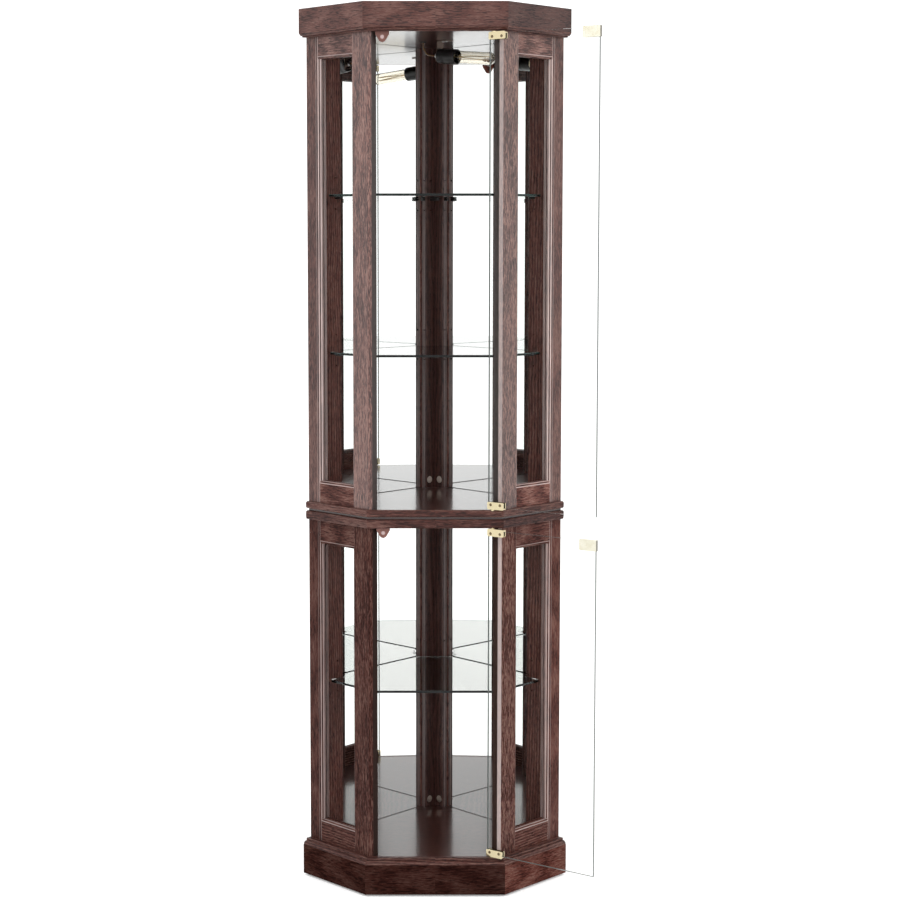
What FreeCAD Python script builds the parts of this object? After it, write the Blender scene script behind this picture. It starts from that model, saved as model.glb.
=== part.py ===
import FreeCAD, Part
import os
from math import sqrt, tan, radians, degrees, acos, cos, sin, atan2

# Corner cabinet in two stacked sections.  Millimetres, +Z up, origin on the
# floor under the rear glide, in the plane of symmetry, front towards -Y, rear
# corner towards +Y.
os.makedirs("parts", exist_ok=True)
V = FreeCAD.Vector
R2 = sqrt(2.0)

# ------------------------------------------------------------ plan
A = 143.0            # half width of the plinth's front facet
B = 411.0            # depth of the plinth, front facet to rear corner
YO = 361.0           # the origin's distance behind the plinth's front facet
OFF = 20.0           # plinth and crown stand this far proud of the body
T_FRAME = 19.0       # thickness of the glazed side frames
E_POST = 34.6        # depth of the side posts, from the back plane
E_CTR = 29.6         # depth of the centre post, from the back plane
E_MIR = 14.5         # mirror face, from the back plane, at the centre post
TILT = 0.0166        # the mirrored walls close up by about 1 degree each
X_CTR = 29.4         # where the mirrors meet the centre post
T_MIR = 3.0
T_BACK = 6.0

# ------------------------------------------------------------ heights
FOOT = 4.0
H_ALL = 1804.0       # overall height, about 71 in
Z_PL_FACE = FOOT + 61.5
Z_LF0, Z_LF1 = FOOT + 56.0, FOOT + 74.0        # lower floor
Z_LT0, Z_LT1 = FOOT + 754.5, FOOT + 772.5      # lower top
Z_UF0, Z_UF1 = Z_LT1, FOOT + 791.5             # upper floor
Z_C0, Z_C1 = FOOT + 1743.0, FOOT + 1759.0      # ceiling
Z_CR_FACE = FOOT + 1752.0                      # crown boards' lower edge
Z_TOP0, Z_TOP1 = H_ALL - 18.0, H_ALL
SHELVES = {"top_glass_shelf": FOOT + 1421.0,
           "middle_glass_shelf": FOOT + 1098.0,
           "lower_glass_shelf": FOOT + 411.0}
T_SHELF = 5.0
# sight edges of the side windows
UPPER_WIN = (FOOT + 837.5, FOOT + 1698.0)
LOWER_WIN = (FOOT + 121.5, FOOT + 705.5)
S_WIN = (47.9, 141.2)
STICK = 5.0

# ------------------------------------------------------------ doors
PIV_X, PIV_YP = 115.3, 16.5
T_DOOR = 5.0
DOOR_R, DOOR_L = 124.5, -124.3      # glass edges with the door closed
OPEN_DEG = 145.5                    # how far both doors stand open
CLIP_L, CLIP_H, CLIP_T, CLIP_WEB = 38.0, 15.0, 9.5, 4.0
UD = (Z_UF1 + 1.5, Z_C0 - 1.2)      # lowest and highest point of the clips
LD = (Z_LF1 + 1.5, Z_LT0 - 1.2)
PIN_R, BUSH_R, BUSH_OR, FLANGE_R = 2.0, 2.06, 3.5, 5.0
SP_W, SP_H, SP_T = 38.0, 22.0, 7.0  # strike plate
RETURN_X = 126.8                    # where the front stiles' square ends begin

# ------------------------------------------------------------ lamp
LAMP_BASE = (9.5, 205.0, FOOT + 1712.0)   # rear face of the lampholder
LAMP_YAW, LAMP_PITCH = -36.9, 5.5         # degrees from +X, degrees down
HOLD_R, HOLD_L = 15.5, 46.0
BULB_R, BULB_L = 12.8, 94.0

made = {}


def y(yp):
    return yp - YO


# ------------------------------------------------------------ helpers
def wire2(points, radii=None):
    """closed planar wire through points, with tangent arcs at the corners"""
    n = len(points)
    pts = [V(*p) for p in points]
    radii = radii or [0.0] * n
    inn, out, mid = [], [], []
    for i in range(n):
        p, a, b = pts[i], pts[i - 1], pts[(i + 1) % n]
        r = radii[i]
        if r <= 0:
            inn.append(p); out.append(p); mid.append(None)
            continue
        u, w = (a - p), (b - p)
        u.normalize(); w.normalize()
        ang = acos(max(-1.0, min(1.0, u.dot(w))))
        t = r / tan(ang / 2.0)
        c_dir = u + w
        c_dir.normalize()
        c = p + c_dir * (r / sin(ang / 2.0))
        inn.append(p + u * t); out.append(p + w * t)
        mid.append(c - c_dir * r)
    edges = []
    for i in range(n):
        j = (i + 1) % n
        if mid[i] is not None:
            edges.append(Part.Arc(inn[i], mid[i], out[i]).toShape())
        if (out[i] - inn[j]).Length > 1e-6:
            edges.append(Part.LineSegment(out[i], inn[j]).toShape())
    return Part.Wire(edges)


def prism(points_xy, z0, z1, radii=None):
    w = wire2([(p[0], p[1], z0) for p in points_xy], radii)
    return Part.Face(w).extrude(V(0, 0, z1 - z0))


def box(x0, y0, z0, x1, y1, z1):
    return Part.makeBox(x1 - x0, y1 - y0, z1 - z0, V(x0, y0, z0))


def cyl(r, h, p, d=(0, 0, 1)):
    return Part.makeCylinder(r, h, V(*p), V(*d))


def mirx(shape):
    return shape.mirror(V(0, 0, 0), V(1, 0, 0))


def put(name, shapes):
    if not isinstance(shapes, (list, tuple)):
        shapes = [shapes]
    solids = []
    for s in shapes:
        for q in s.Solids:
            if not q.isValid():
                q = q.copy()
                q.fix(1e-6, 1e-6, 1e-6)
            solids.append(q)
    made[name] = solids


# corners of the plan at a distance d in from the plinth's faces, and e in
# from the back planes
def c_fl(d, f=None):
    f = d if f is None else f
    return (-A + d * R2 - f, y(f))


def c_sl(d, e=0.0):
    bb = B - e * R2
    return ((-A + d * R2 - bb) / 2.0, y((-A + d * R2 + bb) / 2.0))


def c_r(e=0.0):
    return (0.0, y(B - e * R2))


def pentagon(d, e=0.0, f=None):
    fl, sl, r = c_fl(d, f), c_sl(d, e), c_r(e)
    return [fl, (-fl[0], fl[1]), (-sl[0], sl[1]), r, sl]


def facet_ring(profile, radii=None, end_e=0.0):
    """profile in (d, z): front strip and two side strips, mitred at the front
    corners and cut off in the back planes"""
    d_out, d_in = -30.0, 90.0
    out = []
    pts = [(-400.0, y(p[0]), p[1]) for p in profile]
    front = Part.Face(wire2(pts, radii)).extrude(V(800, 0, 0))
    fo, fi = c_fl(d_out), c_fl(d_in)
    quad = [fo, (-fo[0], fo[1]), (-fi[0], fi[1]), fi]
    z0 = min(p[1] for p in profile) - 5
    z1 = max(p[1] for p in profile) + 5
    out.append(front.common(prism(quad, z0, z1)))
    side = front.copy()
    p0 = c_fl(0.0)
    side.rotate(V(p0[0], p0[1], 0), V(0, 0, 1), -45)
    so, si = c_sl(d_out, end_e), c_sl(d_in, end_e)
    left = side.common(prism([fo, fi, si, so], z0, z1))
    out += [left, mirx(left)]
    return out


# ============================================================ carcass panels
def panel(name, z0, z1, d=OFF, e=0.0):
    s = prism(pentagon(d, e), z0, z1, [1.2, 1.2, 0.8, 0.8, 0.8])
    put(name, s)
    return s


panel("crown_top_panel", Z_TOP0, Z_TOP1 - 0.5)
panel("upper_ceiling_panel", Z_C0, Z_C1)
panel("upper_floor_panel", Z_UF0, Z_UF1)
panel("lower_top_panel", Z_LT0, Z_LT1)
panel("lower_floor_panel", Z_LF0, Z_LF1)

# ============================================================ crown
crown = facet_ring([(0, Z_CR_FACE), (0, H_ALL), (OFF, H_ALL), (OFF, Z_CR_FACE)],
                   [0, 1.6, 0, 0])
# two rails close the crown at the back, between ceiling and top panel
sl0, r0 = c_sl(OFF), c_r(0)
sl1, r1 = c_sl(OFF, 18.0), c_r(18.0)
crown_back = prism([sl0, r0, r1, sl1], Z_C1, Z_TOP0)
put("crown_boards", crown + [crown_back, mirx(crown_back)])

cove = [(0, Z_CR_FACE), (0, Z_CR_FACE - 1.5), (5.5, Z_C0 + 2.5), (9.5, Z_C0 + 2.5),
        (9.5, Z_C0), (OFF, Z_C0), (OFF, Z_CR_FACE)]
put("crown_cove", facet_ring(cove, [0, 2.5, 2.0, 0, 0.8, 0, 0]))

# ============================================================ waist
um = [(12.0, Z_UF0 + 4.2), (12.0, Z_UF1), (OFF, Z_UF1), (OFF, Z_UF0 + 4.2)]
put("upper_waist_moulding", facet_ring(um, [4.6, 4.6, 0, 0]))
lm = [(12.0, Z_LT1 - 12.0), (12.0, Z_LT1 - 0.3), (OFF, Z_LT1 - 0.3), (OFF, Z_LT0), (13.2, Z_LT0)]
put("lower_waist_moulding", facet_ring(lm, [2.6, 4.2, 0, 0, 0.5]))

# ============================================================ plinth
plinth = facet_ring([(0, FOOT), (0, Z_PL_FACE), (OFF, Z_PL_FACE), (OFF, FOOT)],
                    [1.2, 0, 0, 0])
put("plinth_boards", plinth)
pm = [(0.8, Z_PL_FACE), (0.8, Z_PL_FACE + 7.5), (8.5, Z_PL_FACE + 7.5), (8.5, Z_LF1),
      (OFF, Z_LF1), (OFF, Z_PL_FACE)]
put("plinth_moulding", facet_ring(pm, [0, 6.5, 0, 1.2, 0, 0]))
pb = prism([c_sl(OFF), c_r(0), c_r(18.0), c_sl(OFF, 18.0)], FOOT, Z_LF0)
put("plinth_back_boards", [pb.common(box(-500, -500, 0, 0, 500, 200)),
                           mirx(pb.common(box(-500, -500, 0, 0, 500, 200)))])

# triangular glue blocks in the plinth's five corners, with the glides
inv = 1.0 / R2


def tri(p, d1, d2, length):
    return [p, (p[0] + d1[0] * length, p[1] + d1[1] * length),
            (p[0] + d2[0] * length, p[1] + d2[1] * length)]


blocks = [tri(c_fl(OFF), (1, 0), (-inv, inv), 44.0),
          tri(c_sl(OFF, 18.0), (inv, -inv), (inv, inv), 46.0),
          tri(c_r(18.0), (inv, -inv), (-inv, -inv), 52.0)]
blk, glides = [], []
for i, t in enumerate(blocks):
    cx = sum(p[0] for p in t) / 3.0
    cy = sum(p[1] for p in t) / 3.0
    body = prism(t, FOOT, Z_LF0).cut(cyl(2.05, 14.5, (cx, cy, FOOT)))
    disc = cyl(10.0, FOOT - 1.2, (cx, cy, 1.2)).fuse(
        Part.makeCone(7.6, 10.0, 1.2, V(cx, cy, 0)))
    gl = disc.fuse(cyl(2.0, 14.0, (cx, cy, FOOT - 0.2))).removeSplitter()
    blk.append(body); glides.append(gl)
    if i < 2:
        blk.append(mirx(body)); glides.append(mirx(gl))
put("plinth_corner_blocks", blk)
put("floor_glides", glides)

# ============================================================ side frames
# local axes of the left frame: s along the facet from the front corner, t
# inwards through the thickness
FL = c_fl(OFF)
S_LEN = sqrt((c_sl(OFF)[0] - FL[0]) ** 2 + (c_sl(OFF)[1] - FL[1]) ** 2)


def to_left(shape):
    """local (s, t, z) to the left side facet; the map turns the hand over, so
    it goes through a mirror and a rotation"""
    s = shape.mirror(V(0, 0, 0), V(1, 0, 0))          # s -> -s
    # (-s, t) turned so that -s axis runs along the facet
    s.rotate(V(0, 0, 0), V(0, 0, 1), -45)
    s.translate(V(FL[0], FL[1], 0))
    return s


def mitred_rect(profile, radii, rect):
    """profile in (n, t), n measured outwards from the sight edge, round the
    rectangle (s0, z0, s1, z1); returns the four strips"""
    s0, z0, s1, z1 = rect
    big = 60.0
    strips = []
    lo = max(p[0] for p in profile) + 5
    ins = min((s1 - s0), (z1 - z0)) / 2.0 - 0.5
    # bottom and top
    for zz, sg in ((z0, -1), (z1, 1)):
        pts = [(s0 - big, p[1], zz + sg * p[0]) for p in profile]
        pr = Part.Face(wire2(pts, radii)).extrude(V(s1 - s0 + 2 * big, 0, 0))
        tri_pts = [(s0 - lo, -50, zz + sg * lo), (s1 + lo, -50, zz + sg * lo),
                   (s1 - ins, -50, zz - sg * ins), (s0 + ins, -50, zz - sg * ins)]
        wedge = Part.Face(wire2(tri_pts)).extrude(V(0, 100, 0))
        strips.append(pr.common(wedge))
    for ss, sg in ((s0, -1), (s1, 1)):
        pts = [(ss + sg * p[0], p[1], z0 - big) for p in profile]
        pr = Part.Face(wire2(pts, radii)).extrude(V(0, 0, z1 - z0 + 2 * big))
        tri_pts = [(ss + sg * lo, -50, z0 - lo), (ss + sg * lo, -50, z1 + lo),
                   (ss - sg * ins, -50, z1 - ins), (ss - sg * ins, -50, z0 + ins)]
        wedge = Part.Face(wire2(tri_pts)).extrude(V(0, 100, 0))
        strips.append(pr.common(wedge))
    return strips


ret = RETURN_X
p2 = ret * -1 - FL[0]                     # narrow facet parallel to the front
f_s, f_t = -p2 / R2, p2 / R2
PIN_ROWS = []
for name, zs in SHELVES.items():
    for k in (-22.5, 0.0, 41.5):
        PIN_ROWS.append((zs - 2.25 + k, k == 0.0))
PIN_HOLE_R, PIN_R0 = 2.3, 2.2         # straight pins, 4.4 mm


def side_frame(prefix, z0, z1, win):
    zb, zt = win
    s0, s1 = S_WIN
    outline = [(0, 0), (f_s, f_t), (f_s, T_FRAME), (S_LEN, T_FRAME), (S_LEN, 0)]
    block = prism(outline, z0, z1, [2.2, 1.0, 0, 0, 1.2])
    block = block.cut(box(s0, -5, zb, s1, 30, zt))
    block = block.cut(box(s0 - 8, 9, zb - 8, s1 + 8, 30, zt + 8))
    # quirk and quarter round
    for c in mitred_rect_ovolo((s0, zb, s1, zt)):
        block = block.cut(c)
    rail_box_t = box(s0 - STICK, -10, zt, s1 + STICK, 40, z1 + 1)
    rail_box_b = box(s0 - STICK, -10, z0 - 1, s1 + STICK, 40, zb)
    top = block.common(rail_box_t)
    bot = block.common(rail_box_b)
    rest = block.cut(rail_box_t).cut(rail_box_b)
    front, rear = None, None
    for q in rest.Solids:
        if q.CenterOfMass.x < S_LEN / 2:
            front = q
        else:
            rear = q
    # pin holes in the front stile's inner face
    for zr, used in PIN_ROWS:
        if z0 < zr < z1:
            front = front.cut(cyl(PIN_HOLE_R, 8.5, (PIN_FRONT_S, T_FRAME - 8.5, zr), (0, 1, 0)))
    pane = box(s0 - 7, 9.0, zb - 7, s1 + 7, 12.0, zt + 7)
    bead = mitred_rect([(0, 12.1), (8.0, 12.1), (8.0, 19.0), (0.0, 19.0)], [0, 0, 0, 3.5],
                       (s0, zb, s1, zt))
    both = lambda q: [to_left(q), mirx(to_left(q))]
    put(prefix + "_front_stiles", both(front))
    put(prefix + "_rear_stiles", both(rear))
    put(prefix + "_top_rails", both(top))
    put(prefix + "_bottom_rails", both(bot))
    put(prefix + "_side_panes", both(pane))
    beads = []
    for q in bead:
        beads += both(q)
    put(prefix + "_glazing_beads", beads)


def mitred_rect_ovolo(rect):
    """four cutters that leave a quirk and a quarter round on the sight edge"""
    s0, z0, s1, z1 = rect
    big, lo = 40.0, STICK + 4
    strips = []

    def face(fn, ext):
        a = fn(STICK, -2.0); b = fn(STICK, 1.0); m = fn(STICK - STICK * cos(radians(45)),
                                                       1.0 + STICK - STICK * sin(radians(45)))
        c = fn(0.0, 1.0 + STICK); d = fn(-3.0, 1.0 + STICK); e = fn(-3.0, -2.0)
        w = Part.Wire([Part.LineSegment(a, b).toShape(), Part.Arc(b, m, c).toShape(),
                       Part.LineSegment(c, d).toShape(), Part.LineSegment(d, e).toShape(),
                       Part.LineSegment(e, a).toShape()])
        return Part.Face(w).extrude(ext)
    ins = 45.0
    for zz, sg in ((z0, -1), (z1, 1)):
        pr = face(lambda n, t: V(s0 - big, t, zz + sg * n), V(s1 - s0 + 2 * big, 0, 0))
        tp = [(s0 - lo, -50, zz + sg * lo), (s1 + lo, -50, zz + sg * lo),
              (s1 - ins, -50, zz - sg * ins), (s0 + ins, -50, zz - sg * ins)]
        strips.append(pr.common(Part.Face(wire2(tp)).extrude(V(0, 100, 0))))
    for ss, sg in ((s0, -1), (s1, 1)):
        pr = face(lambda n, t: V(ss + sg * n, t, z0 - big), V(0, 0, z1 - z0 + 2 * big))
        tp = [(ss + sg * lo, -50, z0 - lo), (ss + sg * lo, -50, z1 + lo),
              (ss - sg * ins, -50, z1 - ins), (ss - sg * ins, -50, z0 + ins)]
        strips.append(pr.common(Part.Face(wire2(tp)).extrude(V(0, 100, 0))))
    return strips


PIN_FRONT_S = 24.0
side_frame("upper", Z_UF1, Z_C0, UPPER_WIN)
side_frame("lower", Z_LF1, Z_LT0, LOWER_WIN)

# ============================================================ rear posts
# centre post: two legs at right angles, faces parallel to the back panels
LEG_X = 18.7                      # where each leg's face ends
v_c = c_r(E_CTR)
leg_in = (-LEG_X, v_c[1] - LEG_X)
leg_out = (leg_in[0] - E_CTR * inv, leg_in[1] + E_CTR * inv)
CENTRE = [v_c, leg_in, leg_out, c_r(0), (-leg_out[0], leg_out[1]), (-leg_in[0], leg_in[1])]
SIDE_END_X = -194.0               # where the side posts' faces end
d_in = OFF + T_FRAME
sp_a = c_sl(d_in, E_POST)         # meets the side frame's inner face
sp_b = (SIDE_END_X, sp_a[1] + (SIDE_END_X - sp_a[0]))
sp_c = (sp_b[0] - E_POST * inv, sp_b[1] + E_POST * inv)
sp_d = c_sl(d_in, 0)
SIDE = [sp_a, sp_b, sp_c, sp_d]
# places of the pin rows: (point on the face, direction out of the face)
mid_v = (-8.0, v_c[1] - 8.0)
PINS_XY = {
    "v": (mid_v, (inv, -inv), 24.0),
    "leg": ((leg_in[0] - 5.0 * inv, leg_in[1] + 5.0 * inv), (-inv, -inv), 9.5),
    "side": (((sp_a[0] + sp_b[0]) / 2 + 5, (sp_a[1] + sp_b[1]) / 2 + 5), (inv, -inv), 15.0),
}


def posts(prefix, z0, z1):
    centre = prism(CENTRE, z0, z1, [0, 1.5, 0, 0.8, 0, 1.5])
    side = prism(SIDE, z0, z1, [0, 1.5, 0, 0])
    # a fine groove down the side post's face
    gx = 15.0 * inv
    gp = (sp_a[0] + gx, sp_a[1] + gx)
    side = side.cut(prism([(gp[0] - 0.9 * inv, gp[1] - 0.9 * inv), (gp[0] + 0.9 * inv, gp[1] + 0.9 * inv),
                           (gp[0] - 1.2 * inv, gp[1] + 1.2 * inv)], z0 - 1, z1 + 1))
    for zr, used in PIN_ROWS:
        if not (z0 < zr < z1):
            continue
        for key, (p, d, _) in PINS_XY.items():
            q = (p[0] - d[0] * 8.5, p[1] - d[1] * 8.5, zr)
            h = cyl(PIN_HOLE_R, 8.6, q, (d[0], d[1], 0))
            if key == "side":
                side = side.cut(h)
            else:
                centre = centre.cut(h)
                if key == "leg":
                    centre = centre.cut(mirx(h))
    # cam lock bores near the foot of the centre post
    zc = z0 + 17.0
    cam_p = (-10.5, v_c[1] - 10.5)
    for m in (False, True):
        h = cyl(7.6, 12.5, (cam_p[0] - 12.4 * inv, cam_p[1] + 12.4 * inv, zc), (inv, -inv, 0))
        centre = centre.cut(mirx(h) if m else h)
    put(prefix + "_corner_post", centre)
    put(prefix + "_back_stiles", [side, mirx(side)])
    return (cam_p, zc)


cams = [posts("upper", Z_UF1, Z_C0), posts("lower", Z_LF1, Z_LT0)]
cam_solids = []
for cp, zc in cams:
    c = cyl(7.5, 12.0, (cp[0] - 12.0 * inv, cp[1] + 12.0 * inv, zc), (inv, -inv, 0))
    # cross recess in the face
    bar1 = Part.makeBox(2.0, 8.0, 1.4, V(-1.0, -4.0, -0.4))
    bar2 = Part.makeBox(8.0, 2.0, 1.4, V(-4.0, -1.0, -0.4))
    for bar in (bar1, bar2):
        b = bar.copy()
        b.rotate(V(0, 0, 0), V(0, 1, 0), 90)
        b.rotate(V(0, 0, 0), V(1, 0, 0), 20)
        b.rotate(V(0, 0, 0), V(0, 0, 1), -45)
        b.translate(V(cp[0] - 0.6 * inv, cp[1] + 0.6 * inv, zc))
        c = c.cut(b)
    cam_solids += [c, mirx(c)]
put("cam_locks", cam_solids)

# ============================================================ backs and mirrors
# left mirror and back panel stand between the side post and the centre post


def tilted(e, x):
    """depth of a slab's face at x, when it is e at the centre post"""
    return e + TILT * (abs(x) - X_CTR) * R2


def wall_pt(x, e):
    return (x, c_r(tilted(e, x))[1] + x)


def wall_side_x(e):
    """x at which a face of depth e meets the side post's return face"""
    x = sp_b[0]
    for _ in range(8):
        x = sp_b[0] - (E_POST - tilted(e, x)) * inv
    return x


def wall_ctr_x(e):
    x = leg_in[0]
    for _ in range(8):
        x = leg_in[0] - (E_CTR - tilted(e, x)) * inv
    return x


def back_slab(e0, e1, z0, z1, g0, g1):
    """slab along the left back wall, from depth e0 to e1, with gaps g0 at the
    side post and g1 at the centre post"""
    return prism([wall_pt(wall_side_x(e0) + g0 * inv, e0), wall_pt(wall_ctr_x(e0) - g1 * inv, e0),
                  wall_pt(wall_ctr_x(e1) - g1 * inv, e1), wall_pt(wall_side_x(e1) + g0 * inv, e1)], z0, z1)


backs = []
strips = []
for pre, z0, z1 in (("upper", Z_UF1, Z_C0), ("lower", Z_LF1, Z_LT0)):
    m = back_slab(E_MIR - T_MIR, E_MIR, z0 + 0.9, z1 - 0.5, 0.5, 0.5)
    put(pre + "_mirrors", [m, mirx(m)])
    b = back_slab(E_MIR - T_MIR - T_BACK, E_MIR - T_MIR, z0, z1, 0.0, 0.0)
    backs += [b, mirx(b)]
    # quarter round strips that hold the mirror's upright edges
    for which in ("centre", "side"):
        x_, sgn = (wall_ctr_x(E_MIR), -1) if which == "centre" else (wall_side_x(E_MIR), 1)
        p = wall_pt(x_, E_MIR)
        phi = atan2(1 + 2 * TILT, 1.0)          # the mirror's own direction
        al, out_ = (sgn * cos(phi), sgn * sin(phi)), (inv, -inv)
        w = 3.0
        q1 = (p[0] + w * al[0], p[1] + w * al[1])
        q2 = (p[0] + w * out_[0], p[1] + w * out_[1])
        ctr_mid = (p[0] + 0.7071 * w * (al[0] + out_[0]), p[1] + 0.7071 * w * (al[1] + out_[1]))
        z = z0 + 0.2
        e1_ = Part.LineSegment(V(p[0], p[1], z), V(q1[0], q1[1], z)).toShape()
        e2_ = Part.Arc(V(q1[0], q1[1], z), V(ctr_mid[0], ctr_mid[1], z), V(q2[0], q2[1], z)).toShape()
        e3_ = Part.LineSegment(V(q2[0], q2[1], z), V(p[0], p[1], z)).toShape()
        st = Part.Face(Part.Wire([e1_, e2_, e3_])).extrude(V(0, 0, z1 - z0 - 0.4))
        strips += [st, mirx(st)]
put("back_panels", backs)
put("mirror_strips", strips)

# ============================================================ glass shelves and pins
inner_side = -A + d_in * R2           # x + y' on the left frame's inner face
s_side = inner_side + 2.6             # shelf's side edge
p_line = B - E_POST * R2 - 11.0       # y' - x along the side post
m_line = B - E_MIR * R2 - 6.0         # y' - x beside the mirror, at the centre post
front_yp = 37.0
rear_yp = leg_in[1] + YO - 0.8
xl = s_side - front_yp
k1x = (s_side - p_line) / 2.0
notch_x = SIDE_END_X + 6.0
k2 = (notch_x, p_line + notch_x)
dd = (m_line + 2 * TILT * (k2[0] + X_CTR) - p_line) / (2.0 + 2 * TILT)
k3 = (k2[0] - dd, k2[1] + dd)
k4x = (rear_yp - m_line - 2 * TILT * X_CTR) / (1 + 2 * TILT)
half = [(xl, front_yp), (k1x, s_side - k1x), k2, k3, (k4x, rear_yp)]
shelf_pts = [(p[0], y(p[1])) for p in half] + [(-p[0], y(p[1])) for p in reversed(half)]
pins = []
for name, zs in SHELVES.items():
    sh = prism(shelf_pts, zs, zs + T_SHELF, [3, 4, 6, 4, 5, 5, 4, 6, 4, 3])
    put(name, sh)
    zr = zs - 2.25
    prx = [(p[0], p[1], d, ln) for (p, d, ln) in PINS_XY.values()]
    # left front stile
    fp = (FL[0] - PIN_FRONT_S * inv + T_FRAME * inv, FL[1] + PIN_FRONT_S * inv + T_FRAME * inv)
    prx.append((fp[0], fp[1], (inv, inv), 13.0))
    for i, (px, py, d, ln) in enumerate(prx):
        pin = cyl(PIN_R0, 8.0 + 0.01, (px - d[0] * 8.0, py - d[1] * 8.0, zr), (d[0], d[1], 0))
        head = cyl(2.2, ln - 0.1, (px + d[0] * 0.1, py + d[1] * 0.1, zr), (d[0], d[1], 0))
        pin = pin.fuse(cyl(PIN_R0, 0.2, (px - d[0] * 0.05, py - d[1] * 0.05, zr), (d[0], d[1], 0))).fuse(head)
        pin = pin.removeSplitter()
        pins.append(pin)
        if i > 0:
            pins.append(mirx(pin))
put("shelf_pins", pins)

# ============================================================ doors
# made closed, with the glass in the front plane, then turned to the open pose


def opened(shape):
    s = shape.copy()
    s.rotate(V(PIV_X, y(PIV_YP), 0), V(0, 0, 1), OPEN_DEG)
    return s


def set_screw(x, z, ysurf):
    sc = cyl(2.9, 2.1, (x, y(ysurf), z), (0, -1, 0))
    sc = sc.cut(box(x - 3.2, y(ysurf) - 0.9, z - 0.55, x + 3.2, y(ysurf) + 0.2, z + 0.55))
    return sc


def door(prefix, zlo, zhi):
    yc = PIV_YP
    g0, g1 = zlo + CLIP_WEB, zhi - CLIP_WEB
    glass = prism([(DOOR_L, y(yc - T_DOOR / 2)), (DOOR_R, y(yc - T_DOOR / 2)),
                   (DOOR_R, y(yc + T_DOOR / 2)), (DOOR_L, y(yc + T_DOOR / 2))], g0, g1,
                  [1.2, 1.2, 1.2, 1.2])
    # small bevel on the top and bottom edges comes from a tapered cut
    for zz, sg in ((g0, 1), (g1, -1)):
        for yy, sy in ((yc - T_DOOR / 2, 1), (yc + T_DOOR / 2, -1)):
            pts = [(-200, y(yy) - sy * 1.1, zz - sg * 1.1), (-200, y(yy) + sy * 1.1, zz - sg * 1.1),
                   (-200, y(yy) - sy * 1.1, zz + sg * 1.1)]
            glass = glass.cut(Part.Face(wire2(pts)).extrude(V(400, 0, 0)))
    slot = 5.16 / 2
    clips, screws = [], []
    x1 = DOOR_R + 0.3
    x0 = x1 - CLIP_L
    for zc0, up in ((zlo, -1), (zhi - CLIP_H, 1)):
        zc1 = zc0 + CLIP_H
        pts = [(x0, y(yc - CLIP_T / 2), zc0), (x1, y(yc - CLIP_T / 2), zc0),
               (x1, y(yc - CLIP_T / 2), zc1), (x0, y(yc - CLIP_T / 2), zc1)]
        c = Part.Face(wire2(pts, [2.5, 2.5, 2.5, 2.5])).extrude(V(0, CLIP_T, 0))
        if up > 0:
            c = c.cut(box(x0 - 1, y(yc - slot), zc0 - 1, x1 + 1, y(yc + slot), zc1 - CLIP_WEB + 0.05))
            pin = cyl(PIN_R, 8.2, (PIV_X, y(yc), zc1 - 0.4))
        else:
            c = c.cut(box(x0 - 1, y(yc - slot), zc0 + CLIP_WEB - 0.05, x1 + 1, y(yc + slot), zc1 + 1))
            pin = cyl(PIN_R, 8.2, (PIV_X, y(yc), zc0 - 7.8))
        zs = zc0 + (5.6 if up > 0 else CLIP_H - 5.6)
        for xs in (x0 + 8.0, x1 - 8.0):
            c = c.cut(cyl(3.0, 4.0, (xs, y(yc + CLIP_T / 2 + 1), zs), (0, -1, 0)))
            screws.append(set_screw(xs, zs, yc + CLIP_T / 2))
        c = c.fuse(pin)
        clips.append(c)
    # strike plate: a thin pocket over the free top corner
    px0 = DOOR_L - 1.2
    px1 = px0 + SP_W
    pz1 = g1 + 2.8
    pz0 = pz1 - SP_H
    pts = [(px0, y(yc - SP_T / 2), pz0), (px1, y(yc - SP_T / 2), pz0),
           (px1, y(yc - SP_T / 2), pz1), (px0, y(yc - SP_T / 2), pz1)]
    plate = Part.Face(wire2(pts, [0, 2.0, 1.5, 1.5])).extrude(V(0, SP_T, 0))
    plate = plate.cut(box(DOOR_L - 0.05, y(yc - slot), pz0 - 1, px1 + 1, y(yc + slot), g1 + 0.05))
    put(prefix + "_door_glass", opened(glass))
    put(prefix + "_hinge_clips", [opened(c) for c in clips])
    put(prefix + "_clip_screws", [opened(c) for c in screws])
    put(prefix + "_strike_plate", opened(plate))


door("upper", *UD)
door("lower", *LD)

# flanged bushings for the four pivot pins, set into the mouldings that stand
# in front of the panels
def bore_in(names, cutter):
    for nm in names:
        made[nm] = [q for sol in made[nm] for q in (
            sol.cut(cutter).Solids if sol.BoundBox.intersect(cutter.BoundBox)
            and sol.common(cutter).Volume > 1e-3 else [sol])]


bush = []
px, py = PIV_X, y(PIV_YP)
for zf, sg, hosts in ((Z_C0, 1, ("upper_ceiling_panel", "crown_cove")),
                      (Z_LT0, 1, ("lower_top_panel", "lower_waist_moulding")),
                      (Z_UF1, -1, ("upper_floor_panel", "upper_waist_moulding")),
                      (Z_LF1, -1, ("lower_floor_panel", "plinth_moulding"))):
    fh = 0.9
    if sg > 0:
        b = cyl(BUSH_OR, 8.5, (px, py, zf)).fuse(cyl(FLANGE_R, fh, (px, py, zf - fh)))
        b = b.cut(cyl(BUSH_R, 8.4, (px, py, zf - 1.0)))
        hole = cyl(BUSH_OR + 0.03, 8.6, (px, py, zf))
    else:
        b = cyl(BUSH_OR, 8.5, (px, py, zf - 8.5)).fuse(cyl(FLANGE_R, fh, (px, py, zf)))
        b = b.cut(cyl(BUSH_R, 8.4, (px, py, zf + 1.0 - 8.4)))
        hole = cyl(BUSH_OR + 0.03, 8.6, (px, py, zf - 8.6))
    bush.append(b.removeSplitter())
    bore_in(hosts, hole)
put("pivot_bushings", bush)

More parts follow.
